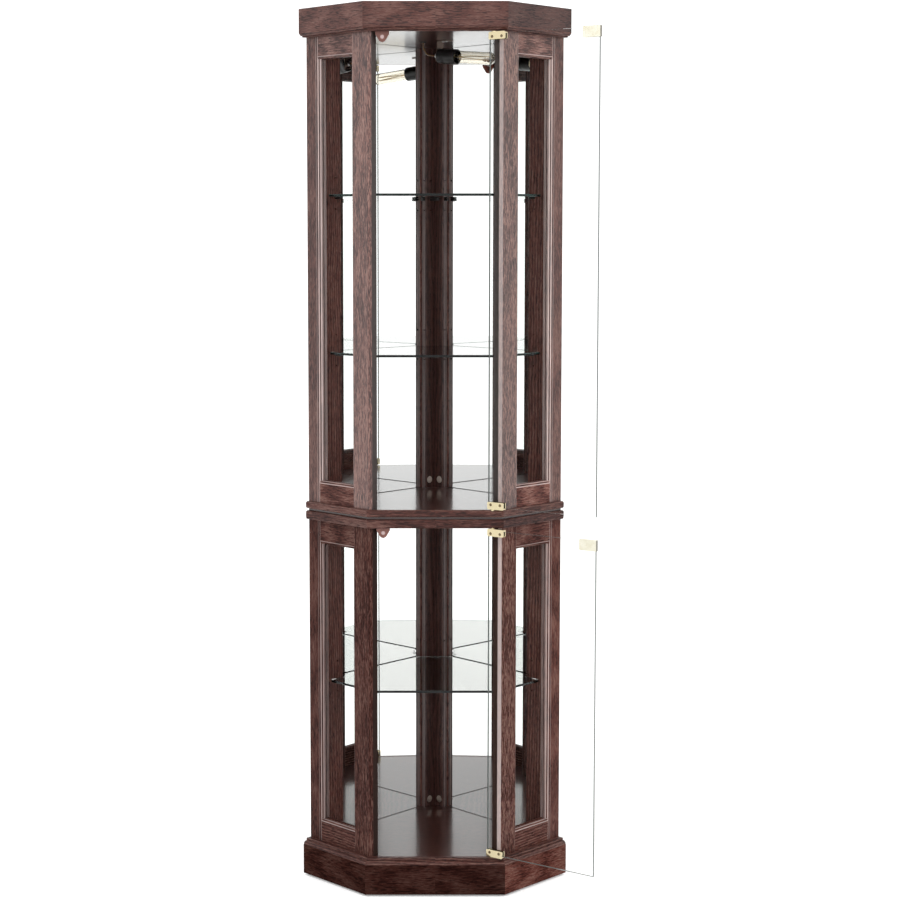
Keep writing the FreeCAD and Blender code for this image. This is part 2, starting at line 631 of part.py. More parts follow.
# ============================================================ magnetic catches
catch, magnets, cscrews = [], [], []
CX = -105.0
cf = PIV_YP + SP_T / 2 + 0.5         # front face, just behind the strike plate
for zc in (Z_C0, Z_LT0):
    w = 13.7
    pts = [(CX - w, y(cf), zc), (CX + w, y(cf), zc), (CX + w, y(cf), zc - 5.0),
           (CX + 5.5, y(cf), zc - 19.0), (CX, y(cf), zc - 21.0), (CX - 5.5, y(cf), zc - 19.0),
           (CX - w, y(cf), zc - 5.0)]
    face = Part.Face(wire2(pts, [1, 1, 6, 4, 0, 4, 6])).extrude(V(0, 7.0, 0))
    foot = prism([(CX - 9, y(cf + 6.5)), (CX + 9, y(cf + 6.5)), (CX + 9, y(cf + 22)), (CX - 9, y(cf + 22))],
                 zc - 3.0, zc, [0, 0, 4, 4])
    h = face.fuse(foot)
    h = h.cut(cyl(3.85, 4.0, (CX, y(cf) - 0.5, zc - 10.5), (0, 1, 0)))
    h = h.cut(cyl(1.9, 6.0, (CX, y(cf + 14.5), zc - 4.5)))
    catch.append(h.removeSplitter())
    magnets.append(cyl(3.8, 3.3, (CX, y(cf) + 0.1, zc - 10.5), (0, 1, 0)))
    sc = cyl(1.8, 15.0, (CX, y(cf + 14.5), zc - 3.1)).fuse(
        cyl(3.4, 1.6, (CX, y(cf + 14.5), zc - 4.7)))
    sc = sc.cut(box(CX - 2.2, y(cf + 14.5) - 0.4, zc - 4.9, CX + 2.2, y(cf + 14.5) + 0.4, zc - 4.0))
    sc = sc.cut(box(CX - 0.4, y(cf + 14.5) - 2.2, zc - 4.9, CX + 0.4, y(cf + 14.5) + 2.2, zc - 4.0))
    cscrews.append(sc.removeSplitter())
    nm = "upper_ceiling_panel" if zc == Z_C0 else "lower_top_panel"
    made[nm] = made[nm][0].cut(cyl(1.85, 12.2, (CX, y(cf + 14.5), zc))).Solids
put("catch_housings", catch)
put("catch_magnets", magnets)

# ============================================================ lamp
def lampify(shape):
    """local axis +X is the lamp's axis, origin at the holder's rear face"""
    s = shape.copy()
    s.rotate(V(0, 0, 0), V(0, 1, 0), LAMP_PITCH)
    s.rotate(V(0, 0, 0), V(0, 0, 1), LAMP_YAW)
    s.translate(V(LAMP_BASE[0], y(LAMP_BASE[1]), LAMP_BASE[2]))
    return s


def revolve(points_xr, arcs=None):
    """closed profile in (x, r) turned round the X axis"""
    edges = []
    n = len(points_xr)
    arcs = arcs or {}
    for i in range(n):
        a, b = points_xr[i], points_xr[(i + 1) % n]
        pa, pb = V(a[0], a[1], 0), V(b[0], b[1], 0)
        if (pa - pb).Length < 1e-7:
            continue
        if i in arcs:
            m = arcs[i]
            edges.append(Part.Arc(pa, V(m[0], m[1], 0), pb).toShape())
        else:
            edges.append(Part.LineSegment(pa, pb).toShape())
    f = Part.Face(Part.Wire(edges))
    return f.revolve(V(0, 0, 0), V(1, 0, 0), 360)


hr, hl = HOLD_R, HOLD_L
holder = revolve([(0, 5.2), (0, hr - 3.0), (3.0, hr), (hl - 1.0, hr), (hl, hr - 1.0), (hl, 13.6),
                  (hl - 12.0, 13.6), (hl - 12.0, 7.4), (hl - 38.0, 7.4), (hl - 38.0, 5.2)],
                 {1: (0.88, hr - 0.88), 3: (hl - 0.29, hr - 0.29)})
# grip ring grooves round the holder
for gx in (12.0, 15.0, 18.0):
    ringc = revolve([(gx - 0.6, hr - 0.5), (gx + 0.6, hr - 0.5), (gx + 0.6, hr + 2), (gx - 0.6, hr + 2)])
    holder = holder.cut(ringc)
put("lamp_holder", lampify(holder))
nipple = revolve([(-9.0, 2.9), (-9.0, 4.9), (hl - 38.4, 4.9), (hl - 38.4, 2.9)])
nutw = 6.6
hexp = [(-5.0 - 1.6, nutw * cos(radians(60 * i)), nutw * sin(radians(60 * i))) for i in range(6)]
nut = Part.Face(wire2(hexp)).extrude(V(4.2, 0, 0)).cut(cyl(5.0, 10, (-12, 0, 0), (1, 0, 0)))
# strap bracket: leg behind the holder, foot on the ceiling
leg_t = 1.8
leg = box(-leg_t - 0.1, -11.0, -12.0, -0.1, 11.0, 30.0).cut(cyl(5.0, 10, (-6, 0, 0), (1, 0, 0)))
leg = lampify(leg)
ceil_z = Z_C0
leg = leg.common(box(-300, -300, 0, 300, 300, ceil_z - 1.0))
yawr = radians(LAMP_YAW)
ux, uy = cos(yawr), sin(yawr)
top_c = lampify(Part.Vertex(-leg_t / 2 - 0.1, 0, 30.0)).Point
fo_c = (top_c.x, top_c.y)


def rotrect(cx, cy, a0, a1, hw):
    """rectangle from a0 to a1 along the lamp's yaw, half width hw"""
    return [(cx + ux * a0 + uy * hw, cy + uy * a0 - ux * hw), (cx + ux * a1 + uy * hw, cy + uy * a1 - ux * hw),
            (cx + ux * a1 - uy * hw, cy + uy * a1 + ux * hw), (cx + ux * a0 - uy * hw, cy + uy * a0 + ux * hw)]


foot = prism(rotrect(fo_c[0], fo_c[1], -1.2, 26.0, 11.0), ceil_z - 1.8, ceil_z, [0, 3, 3, 0])
brk = leg.fuse(foot)
scr = []
for a_, b_ in ((16.0, 0.0), (8.0, 0.0)):
    cx_, cy_ = fo_c[0] + ux * a_, fo_c[1] + uy * a_
    brk = brk.cut(cyl(1.9, 6, (cx_, cy_, ceil_z - 4)))
    s_ = cyl(1.8, 13.0, (cx_, cy_, ceil_z - 1.9)).fuse(cyl(3.2, 1.4, (cx_, cy_, ceil_z - 3.25)))
    s_ = s_.cut(box(cx_ - 2.4, cy_ - 0.4, ceil_z - 3.5, cx_ + 2.4, cy_ + 0.4, ceil_z - 2.6))
    scr.append(s_.removeSplitter())
    made["upper_ceiling_panel"] = made["upper_ceiling_panel"][0].cut(
        cyl(1.85, 11.4, (cx_, cy_, ceil_z))).Solids
put("lamp_bracket", brk.removeSplitter())
put("lamp_nipple_and_nut", [lampify(nipple), lampify(nut)])
put("fixing_screws", cscrews + scr)

# bulb: screw shell, glass envelope, filament
bx = hl - 37.0
base = revolve([(bx, 0), (bx, 3.0), (bx + 2.0, 3.5), (bx + 3.0, 6.8), (bx + 26.0, 6.8), (bx + 26.0, 0)])
put("bulb_base", lampify(base))
g0x = bx + 26.05
gr = BULB_R
tipx = hl + BULB_L - 1.0
env = revolve([(g0x, 5.8), (g0x, 6.8), (g0x + 2.0, 6.8), (g0x + 20.0, gr), (tipx - gr, gr), (tipx, 0.8),
               (tipx + 1.6, 0.6), (tipx + 1.6, 0.0), (tipx - 1.0, 0.0), (tipx - gr, gr - 1.0),
               (g0x + 20.3, gr - 1.0), (g0x + 2.5, 5.8)],
              {4: (tipx - gr + gr * 0.7071, gr * 0.7071 + 0.1),
               8: (tipx - gr + (gr - 1.0) * 0.7071, (gr - 1.0) * 0.7071)})
put("bulb_glass", lampify(env))
wires = [cyl(1.6, 18.0, (g0x + 0.1, 0, 0), (1, 0, 0))]
fx0, fx1 = g0x + 17.0, tipx - 12.0
npair = 4
ringr = 5.0
for i in range(npair):
    a = radians(45 + 360.0 / npair * i)
    a2 = radians(45 + 360.0 / npair * (i + 0.5))
    p0 = (fx0, ringr * cos(a) * 0.35, ringr * sin(a) * 0.35)
    p1 = (fx1, ringr * cos(a), ringr * sin(a))
    dirv = V(*p1) - V(*p0)
    wires.append(Part.makeCylinder(0.45, dirv.Length, V(*p0), dirv))
    q1 = (fx0, ringr * cos(a2), ringr * sin(a2))
    d2 = V(*q1) - V(*p1)
    wires.append(Part.makeCylinder(0.45, d2.Length, V(*p1), d2))
    wires.append(Part.makeSphere(0.55, V(*p1)))
    d3 = V(*q1) - V(fx0, 0, 0)
    wires.append(Part.makeCylinder(0.4, d3.Length, V(fx0, 0, 0), d3))
fil = wires[0]
for w_ in wires[1:]:
    fil = fil.fuse(w_)
put("bulb_filament", lampify(fil))

# lead from the nipple back and up through a grommet in the ceiling, into the
# crown: straight runs joined by tangent arcs
lead_r = 2.0
a0 = lampify(Part.Vertex(-9.2, 0, 0)).Point
a1 = lampify(Part.Vertex(-31.2, 0, 0)).Point
a2 = V(a1.x - ux * 19.0 * 0.6, a1.y - uy * 19.0 * 0.6, a1.z + 19.0 * 0.8)
a3 = V(a2.x, a2.y, Z_C1 + 12.0)


def tube_path(pts):
    edges, here = [], V(pts[0])
    for i in range(1, len(pts) - 1):
        p = pts[i]
        u, w = pts[i - 1] - p, pts[i + 1] - p
        lu, lw = u.Length, w.Length
        u.normalize(); w.normalize()
        turn = 180.0 - degrees(acos(max(-1.0, min(1.0, u.dot(w)))))
        tl_ = 0.45 * min(lu, lw)
        r_ = tl_ / tan(radians(turn / 2.0))
        q0, q1 = p + u * tl_, p + w * tl_
        bis = u + w
        bis.normalize()
        c_ = p + bis * (r_ / cos(radians(turn / 2.0)))
        edges.append(Part.LineSegment(here, q0).toShape())
        edges.append(Part.Arc(q0, c_ - bis * r_, q1).toShape())
        here = q1
        print("lead: turn %.0f deg, radius %.1f mm" % (turn, r_))
    edges.append(Part.LineSegment(here, pts[-1]).toShape())
    return Part.Wire(edges)


path = tube_path([a0, a1, a2, a3])
prof = Part.Wire([Part.Circle(a0, a0 - a1, lead_r).toShape()])
lead = path.makePipeShell([prof], True, True)
print("lead: length %.1f mm, volume %.1f of %.1f mm3" % (
    path.Length, lead.Volume, 3.14159265 * lead_r ** 2 * path.Length))
put("lamp_lead", lead)
# where the lead crosses the ceiling panel
gpt = V(a2.x, a2.y, ceil_z)
grom = cyl(6.5, 1.6, (gpt.x, gpt.y, ceil_z - 1.65)).fuse(cyl(4.4, 15.0, (gpt.x, gpt.y, ceil_z - 0.2)))
grom = grom.cut(cyl(lead_r + 0.15, 40.0, (gpt.x, gpt.y, ceil_z - 10.0)))
put("lead_grommet", grom.removeSplitter())
made["upper_ceiling_panel"] = made["upper_ceiling_panel"][0].cut(
    cyl(4.45, 30.0, (gpt.x, gpt.y, ceil_z - 5))).Solids

# ============================================================ section bolts
bolts = []
for bx_, byp in ((-105.0, 60.0), (105.0, 60.0), (-130.0, 200.0), (130.0, 200.0)):
    by_ = y(byp)
    b = cyl(5.5, 2.6, (bx_, by_, Z_LT0 - 2.6)).fuse(cyl(3.0, 28.0, (bx_, by_, Z_LT0 - 0.1)))
    hx = [(bx_ + 2.0 * cos(radians(60 * i)), by_ + 2.0 * sin(radians(60 * i)), Z_LT0 - 2.8) for i in range(6)]
    b = b.cut(Part.Face(wire2(hx)).extrude(V(0, 0, 2.2)))
    bolts.append(b.removeSplitter())
    made["lower_top_panel"] = made["lower_top_panel"][0].cut(cyl(3.05, 40, (bx_, by_, Z_LT0 - 5))).Solids
    made["upper_floor_panel"] = made["upper_floor_panel"][0].cut(
        cyl(3.05, 10.4, (bx_, by_, Z_UF0 - 0.2))).Solids
put("section_bolts", bolts)

# ============================================================ write
for name, solids in made.items():
    shp = solids[0] if len(solids) == 1 else Part.makeCompound(solids)
    bad = [i for i, s in enumerate(solids) if not s.isValid() or s.Volume <= 0]
    shp.exportStep("parts/%s.step" % name)
    if bad:
        print("INVALID", name, bad)
print(len(made), "nodes,", sum(len(s) for s in made.values()), "solids")
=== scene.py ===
import math
import bpy
from mathutils import Vector, Matrix


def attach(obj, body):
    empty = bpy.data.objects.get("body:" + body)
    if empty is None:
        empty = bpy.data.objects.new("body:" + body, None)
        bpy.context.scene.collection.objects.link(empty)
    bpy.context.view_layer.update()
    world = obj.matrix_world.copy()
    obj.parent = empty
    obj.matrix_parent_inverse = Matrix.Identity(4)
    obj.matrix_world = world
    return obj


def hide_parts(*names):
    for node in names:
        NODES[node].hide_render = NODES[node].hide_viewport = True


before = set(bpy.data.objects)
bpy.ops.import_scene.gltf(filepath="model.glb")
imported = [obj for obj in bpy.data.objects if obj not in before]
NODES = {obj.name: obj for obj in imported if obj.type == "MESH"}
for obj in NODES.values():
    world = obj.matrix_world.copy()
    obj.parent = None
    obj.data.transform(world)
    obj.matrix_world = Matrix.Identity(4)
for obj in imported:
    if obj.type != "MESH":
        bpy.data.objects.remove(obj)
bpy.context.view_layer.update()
YO = 0.361                      # the front plane of plinth and crown is y = -YO
A = 0.143                       # half width of the front facet
INV = 1 / math.sqrt(2)
scene = bpy.context.scene
scene.view_settings.view_transform = "Standard"
scene.view_settings.look = "None"
scene.view_settings.exposure = 0.0
scene.view_settings.gamma = 1.0


# ------------------------------------------------------------ node helpers
class Mat:
    def __init__(self, name):
        self.m = bpy.data.materials.new(name)
        self.m.use_nodes = True
        self.t = self.m.node_tree
        self.n = self.t.nodes
        self.n.clear()
        self.out = self.n.new("ShaderNodeOutputMaterial")
        self.b = self.n.new("ShaderNodeBsdfPrincipled")
        self.link(self.b.outputs[0], self.out.inputs[0])

    def link(self, a, b):
        self.t.links.new(a, b)

    def set(self, **kw):
        for k, v in kw.items():
            s = self.b.inputs[k.replace("_", " ")]
            s.default_value = v
        return self

    def node(self, kind, **kw):
        nd = self.n.new(kind)
        for k, v in kw.items():
            setattr(nd, k, v)
        return nd

    def math(self, op, a, b=None, c=None, clamp=False):
        nd = self.node("ShaderNodeMath", operation=op, use_clamp=clamp)
        for i, v in enumerate((a, b, c)):
            if v is None:
                continue
            if isinstance(v, (int, float)):
                nd.inputs[i].default_value = v
            else:
                self.link(v, nd.inputs[i])
        return nd.outputs[0]

    def coords(self):
        tc = self.node("ShaderNodeTexCoord")
        return tc.outputs["Object"]

    def split(self, v):
        s = self.node("ShaderNodeSeparateXYZ")
        self.link(v, s.inputs[0])
        return s.outputs[0], s.outputs[1], s.outputs[2]

    def join(self, x, y, z):
        c = self.node("ShaderNodeCombineXYZ")
        for i, v in enumerate((x, y, z)):
            if isinstance(v, (int, float)):
                c.inputs[i].default_value = v
            else:
                self.link(v, c.inputs[i])
        return c.outputs[0]

    def noise(self, v, scale, detail=3.0, rough=0.55, dist=0.0, dims="3D"):
        nd = self.node("ShaderNodeTexNoise", noise_dimensions=dims)
        self.link(v, nd.inputs["Vector"])
        nd.inputs["Scale"].default_value = scale
        nd.inputs["Detail"].default_value = detail
        nd.inputs["Roughness"].default_value = rough
        nd.inputs["Distortion"].default_value = dist
        return nd.outputs["Fac"]

    def ramp(self, f, stops, interp="LINEAR"):
        nd = self.node("ShaderNodeValToRGB")
        nd.color_ramp.interpolation = interp
        e = nd.color_ramp.elements
        while len(e) > 1:
            e.remove(e[-1])
        for i, (p, c) in enumerate(stops):
            el = e[0] if i == 0 else e.new(p)
            el.position = p
            el.color = (c[0], c[1], c[2], 1) if len(c) == 3 else c
        self.link(f, nd.inputs[0])
        return nd.outputs[0]

    def mix(self, f, a, b, mode="MIX"):
        nd = self.node("ShaderNodeMix", data_type="RGBA", blend_type=mode)
        fi = nd.inputs[0]
        if isinstance(f, (int, float)):
            fi.default_value = f
        else:
            self.link(f, fi)
        for idx, v in ((6, a), (7, b)):
            if isinstance(v, tuple):
                nd.inputs[idx].default_value = (v[0], v[1], v[2], 1)
            else:
                self.link(v, nd.inputs[idx])
        return nd.outputs[2]

    def bump(self, h, strength, dist=0.001):
        nd = self.node("ShaderNodeBump")
        nd.inputs["Strength"].default_value = strength
        nd.inputs["Distance"].default_value = dist
        self.link(h, nd.inputs["Height"])
        self.link(nd.outputs[0], self.b.inputs["Normal"])
        return nd


def srgb(r, g, b):
    def f(c):
        c /= 255.0
        return c / 12.92 if c <= 0.04045 else ((c + 0.055) / 1.055) ** 2.4
    return (f(r), f(g), f(b))


# ------------------------------------------------------------ wood
def wood(name, kind, v0=0.0, seed=0.0, tone=1.0, rough=0.34, spec=0.6, coat=0.5,
         slope=0.018, d0=0.03, u0=0.0, period=0.0055, contrast=1.0, warm=1.0, lines=(), relief=0.40,
         figure=0.22, roam=0.020, ends=False, right=1.0, grit=1.0, rt=1.0):
    """open-grain oak under a dark stain.  kind says which way the grain runs:
    z upright, ring round the three facets, x across, back along each back wall.
    v0 is the middle of the piece across the grain; d0 and slope set how the
    growth rings rise through the board, which draws the pointed figure.  lines
    lists (coordinate, place, half width, strength) of thin painted bands along
    the moulded edges: painted highlights where the strength is positive,
    painted shade in the grooves and gaps where it is negative.  figure is how
    strongly the rings show and roam how far they wander; ends darkens the
    square ends beside the door and paints a highlight on the narrow front facet
    on the hinge side; right makes the grain of the right-hand pieces coarser;
    grit is how much the pores and fibres break up the gloss; rt scales the
    right-hand pieces paler or darker, painted light and shade for the light
    from the right"""
    m = Mat(name)
    x, y, z = m.split(m.coords())
    ax = m.math("ABSOLUTE", x)
    sign = m.math("SIGN", x)
    s_al = m.math("MULTIPLY", m.math("ADD", ax, y), INV)
    s_in = m.math("MULTIPLY", m.math("SUBTRACT", ax, y), INV)
    if kind == "z":
        u, v, w = z, s_al, s_in
    elif kind == "zc":
        u, v, w = z, x, y
    elif kind == "rail":
        u, v, w = s_al, z, s_in
    elif kind == "x":
        u, v, w = x, y, z
    elif kind == "back":
        u, v, w = m.math("MULTIPLY", m.math("SUBTRACT", y, ax), INV), z, m.math("MULTIPLY", m.math("ADD", ax, y), INV)
    elif kind == "ring":
        side = m.math("GREATER_THAN", m.math("ADD", ax, m.math("MULTIPLY", y, 0.41421)),
                      A - 0.41421 * YO)
        mixf = m.node("ShaderNodeMix", data_type="FLOAT")
        m.link(side, mixf.inputs[0]); m.link(x, mixf.inputs[2]); m.link(s_al, mixf.inputs[3])
        u = m.math("ADD", mixf.outputs[0], m.math("MULTIPLY", side, 0.9))
        mixw = m.node("ShaderNodeMix", data_type="FLOAT")
        m.link(side, mixw.inputs[0]); m.link(y, mixw.inputs[2]); m.link(s_in, mixw.inputs[3])
        w = mixw.outputs[0]
        v = z
    us = m.math("ADD", m.math("MULTIPLY", sign, 1.7), m.math("ADD", u, seed * 3.1))
    vs = m.math("ADD", m.math("SUBTRACT", v, v0), m.math("MULTIPLY", sign, 0.31))
    # slow wander of the grain lines
    slow = m.join(m.math("MULTIPLY", us, 3.2), m.math("MULTIPLY", vs, 12.0), m.math("ADD", m.math("MULTIPLY", w, 8.0), seed))
    wander = m.math("SUBTRACT", m.noise(slow, 1.0, 2.0, 0.5), 0.5)
    vc = m.math("ADD", m.math("SUBTRACT", v, v0), m.math("MULTIPLY", wander, 0.030))
    d = m.math("ADD", m.math("MULTIPLY", m.math("SUBTRACT", u, u0), slope),
               m.math("ADD", m.math("MULTIPLY", sign, 0.012), d0))
    d = m.math("ADD", d, m.math("MULTIPLY", w, 0.9))
    d = m.math("ADD", d, m.math("MULTIPLY", wander, roam))
    r = m.math("SQRT", m.math("ADD", m.math("MULTIPLY", vc, vc), m.math("MULTIPLY", d, d)))
    # fine jitter so that no ring edge is a clean line
    jit_v = m.join(m.math("MULTIPLY", us, 30.0), m.math("MULTIPLY", vs, 420.0), m.math("MULTIPLY", w, 300.0))
    jit = m.math("SUBTRACT", m.noise(jit_v, 1.0, 2.0, 0.6), 0.5)
    ph = m.math("ADD", m.math("MULTIPLY", r, 2 * math.pi / period), m.math("MULTIPLY", jit, 3.4))
    ring = m.math("ADD", m.math("MULTIPLY", m.math("SINE", ph), 0.5), 0.5)
    # streaks and flecks a few millimetres wide, fibres and open pores
    st_v = m.join(m.math("MULTIPLY", us, 9.0), m.math("MULTIPLY", vs, 240.0), m.math("MULTIPLY", w, 190.0))
    streak = m.noise(st_v, 1.0, 1.0, 0.6, 0.2)
    fl_v = m.join(m.math("MULTIPLY", us, 70.0), m.math("MULTIPLY", vs, 760.0), m.math("MULTIPLY", w, 620.0))
    fleck = m.noise(fl_v, 1.0, 2.0, 0.75, 0.5)
    fib_v = m.join(m.math("MULTIPLY", us, 34.0), m.math("MULTIPLY", vs, 900.0), m.math("MULTIPLY", w, 600.0))
    fibre = m.noise(fib_v, 1.0, 2.0, 0.6)
    por_v = m.join(m.math("MULTIPLY", us, 70.0), m.math("MULTIPLY", vs, 520.0), m.math("MULTIPLY", w, 420.0))
    pores = m.noise(por_v, 1.0, 1.0, 0.6, 0.25)
    por_n = m.math("ADD", pores, m.math("MULTIPLY", m.math("SUBTRACT", 0.5, ring), 0.12))
    dark = m.ramp(por_n, [(0.55, (0, 0, 0)), (0.63, (1, 1, 1))])
    f = m.math("ADD", m.math("MULTIPLY", m.math("SUBTRACT", ring, 0.5), figure),
               m.math("ADD", m.math("MULTIPLY", m.math("SUBTRACT", streak, 0.5), 0.55 * contrast),
                      m.math("MULTIPLY", m.math("SUBTRACT", fibre, 0.5), 0.60 * contrast)))
    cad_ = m.math("MULTIPLY", m.math("SUBTRACT", fleck, 0.5), 1.9 * contrast)
    if right != 1.0:
        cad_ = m.math("MULTIPLY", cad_, m.math("ADD", 1.0, m.math("MULTIPLY", m.math("GREATER_THAN", x, 0.0), right - 1.0)))
    f = m.math("ADD", f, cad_)
    f = m.math("ADD", f, 0.5, clamp=True)
    k = tone
    c_dark = tuple(c * k for c in (0.024, 0.0080 / warm, 0.0066 / warm))
    c_mid = tuple(c * k for c in (0.064, 0.0215 / warm, 0.0165 / warm))
    c_lite = tuple(c * k for c in (0.140, 0.078 / warm, 0.064 / warm))
    col = m.ramp(f, [(0.22, c_dark), (0.48, c_mid), (0.80, c_lite)])
    tone_v = m.join(m.math("MULTIPLY", us, 3.0), m.math("MULTIPLY", vs, 7.0), m.math("MULTIPLY", w, 3.0))
    slow_t = m.noise(tone_v, 1.0, 2.0, 0.5)
    red = m.ramp(slow_t, [(0.3, (0.88, 0.84, 0.84)), (0.7, (1.14, 1.10, 1.08))])
    col = m.mix(1.0, col, red, "MULTIPLY")
    col = m.mix(m.math("MULTIPLY", dark, 0.72), col, tuple(c * k for c in (0.012, 0.0045, 0.004)))
    where = {"al": s_al, "in": s_in, "z": z, "x": ax, "y": y}
    # painted highlights (strength above zero) and painted shade (below zero) in thin bands along the moulded edges
    for c_name, place, half, strength in lines:
        dist = m.math("ABSOLUTE", m.math("SUBTRACT", where[c_name], place))
        msk = m.math("SUBTRACT", 1.0, m.math("DIVIDE", dist, half), clamp=True)
        painted_line_mask = m.math("MULTIPLY", msk, m.math("ADD", 0.55, m.math("MULTIPLY", streak, 0.9)))
        col = m.mix(m.math("MULTIPLY", painted_line_mask, abs(strength), clamp=True), col,
                    (0.54, 0.44, 0.42) if strength > 0 else (0.008, 0.004, 0.004))
    if ends:
        tcn = m.node("ShaderNodeTexCoord")
        nx, ny, nz = m.split(tcn.outputs["Normal"])
        e1 = m.math("LESS_THAN", m.math("MULTIPLY", nx, sign), -0.5)
        e2 = m.math("LESS_THAN", ny, -0.5)
        col = m.mix(m.math("MULTIPLY", e1, e2), col, (0.020, 0.011, 0.009))
        # painted highlight: the narrow front facet beside the door is made paler on the hinge side, for the light
        # from the right
        hinge_side_highlight = m.math("MULTIPLY", m.math("LESS_THAN", ny, -0.93), m.math("GREATER_THAN", x, 0.0))
        col = m.mix(m.math("MULTIPLY", hinge_side_highlight, 0.45), col, (0.42, 0.35, 0.34))
    # painted light and shade: the right-hand pieces are scaled paler or darker by rt, for the light falling from the
    # right
    if rt != 1.0:
        right_light_mask = m.math("GREATER_THAN", x, 0.0)
        if kind == "ring":
            right_light_mask = m.math("MULTIPLY", right_light_mask, side)
        right_light_gain = m.math("ADD", 1.0, m.math("MULTIPLY", right_light_mask, rt - 1.0))
        col = m.mix(1.0, col, m.join(right_light_gain, right_light_gain, right_light_gain), "MULTIPLY")
    m.link(col, m.b.inputs["Base Color"])
    rr = m.math("ADD", m.math("MULTIPLY", dark, 0.24 * grit),
                m.math("ADD", m.math("MULTIPLY", fibre, 0.10 * grit), rough - 0.05 * grit))
    m.link(rr, m.b.inputs["Roughness"])
    m.b.inputs["Coat Weight"].default_value = coat
    m.b.inputs["Coat Roughness"].default_value = 0.30
    m.b.inputs["Specular IOR Level"].default_value = spec
    h = m.math("SUBTRACT", m.math("MULTIPLY", m.math("ADD", fibre, streak), 0.30), m.math("MULTIPLY", dark, 0.9))
    m.bump(h, relief, 0.0006)
    return m.m


def simple(name, color, rough=0.4, metal=0.0, **kw):
    m = Mat(name)
    m.set(Base_Color=(*color, 1), Roughness=rough, Metallic=metal)
    for k, v in kw.items():
        m.b.inputs[k.replace("_", " ")].default_value = v
    return m


# ------------------------------------------------------------ glass
def glass(name, tint, edge, edge_test=None, ior=1.22):
    """clear float glass: see-through faces, darker green where the light runs
    along inside it to a polished edge"""
    m = Mat(name)
    m.set(Base_Color=(*tint, 1), Roughness=0.0, Transmission_Weight=1.0, IOR=ior)
    if edge_test is not None:
        f = edge_test(m)
        col = m.mix(f, tint, edge)
        m.link(col, m.b.inputs["Base Color"])
    return m.m


def sheet_glass(name, tint):
    """thin flat glass: seen straight through, with a mirror gloss that sets in
    at about 50 degrees and grows towards a glancing view"""
    m = Mat(name)
    lw = m.node("ShaderNodeLayerWeight")
    lw.inputs["Blend"].default_value = 0.5
    rise = m.math("DIVIDE", m.math("SUBTRACT", lw.outputs["Facing"], 0.36), 0.64, clamp=True)
    fac = m.math("POWER", rise, 3.0)
    clear = m.node("ShaderNodeBsdfTransparent")
    clear.inputs[0].default_value = (*tint, 1)
    m.set(Base_Color=(1, 1, 1, 1), Metallic=1.0, Roughness=0.0)
    mx = m.node("ShaderNodeMixShader")
    m.link(fac, mx.inputs[0])
    m.link(clear.outputs[0], mx.inputs[1])
    m.link(m.b.outputs[0], mx.inputs[2])
    m.link(mx.outputs[0], m.out.inputs[0])
    return m.m


# ------------------------------------------------------------ assign
def put_mat(node, mat):
    o = NODES[node]
    if not o.material_slots:
        o.data.materials.append(mat)
    for s in o.material_slots:
        s.link = "OBJECT"
        s.material = mat


V_FS = -0.127                    # middle of the front stiles along a side facet
V_RS = 0.022                     # middle of the rear stiles
SAL0 = (0.13472 - YO + 0.020) * INV      # a side facet's front corner along it
E_F, E_R = SAL0 + 0.0429, SAL0 + 0.1462   # flat edges beside the side windows
# painted highlight and painted shade lines beside the side windows, at the flat edges of the stiles: light where the
# strength is positive, dark where it is negative
L_ST = (("al", E_R + 0.0046, 0.0009, -0.9), ("al", E_R + 0.0060, 0.0007, 0.5), ("al", E_R - 0.0002, 0.0013, 1.0),
        ("al", E_R - 0.0022, 0.0009, -0.7), ("al", E_R - 0.0043, 0.0010, 0.8), ("al", E_F + 0.0004, 0.0009, 0.6))
L_ST2 = tuple((c_, p_, h_, 0.62 * s_ if s_ > 0 else s_) for c_, p_, h_, s_ in L_ST)   # painted highlights weaker below
# tones: the upper section's stiles, rear stiles and rails are paler (1.3, 0.97, 1.10) than the same wood in the lower
# section (0.74, 0.74, 0.78), a painted sheen for the upper section lit more from above
w_stile = wood("wood_stile", "z", V_FS, 0.11, 1.3, 0.34, 0.39, 0.39, slope=0.020, d0=-0.012, lines=L_ST,
               contrast=1.55, figure=0.13, ends=True, right=2.1)
w_stile_l = wood("wood_stile_lower", "z", V_FS + 0.008, 2.31, 0.74, 0.38, 0.04, 0.0, slope=-0.028, d0=0.034,
                 period=0.008, lines=L_ST2, figure=0.11, contrast=1.05, ends=True, right=1.8, rt=1.5)
w_rear = wood("wood_rear_stile", "z", V_RS, 1.17, 0.97, 0.36, 0.28, 0.15, slope=0.015, d0=0.01, lines=L_ST, contrast=0.82,
              figure=0.12, rt=1.15)
w_rear_l = wood("wood_rear_stile_lower", "z", V_RS - 0.004, 1.63, 0.74, 0.38, 0.05, 0.0, slope=0.085, d0=-0.03,
                period=0.0105, lines=L_ST2, figure=0.12, roam=0.030, contrast=0.52, rt=1.45)
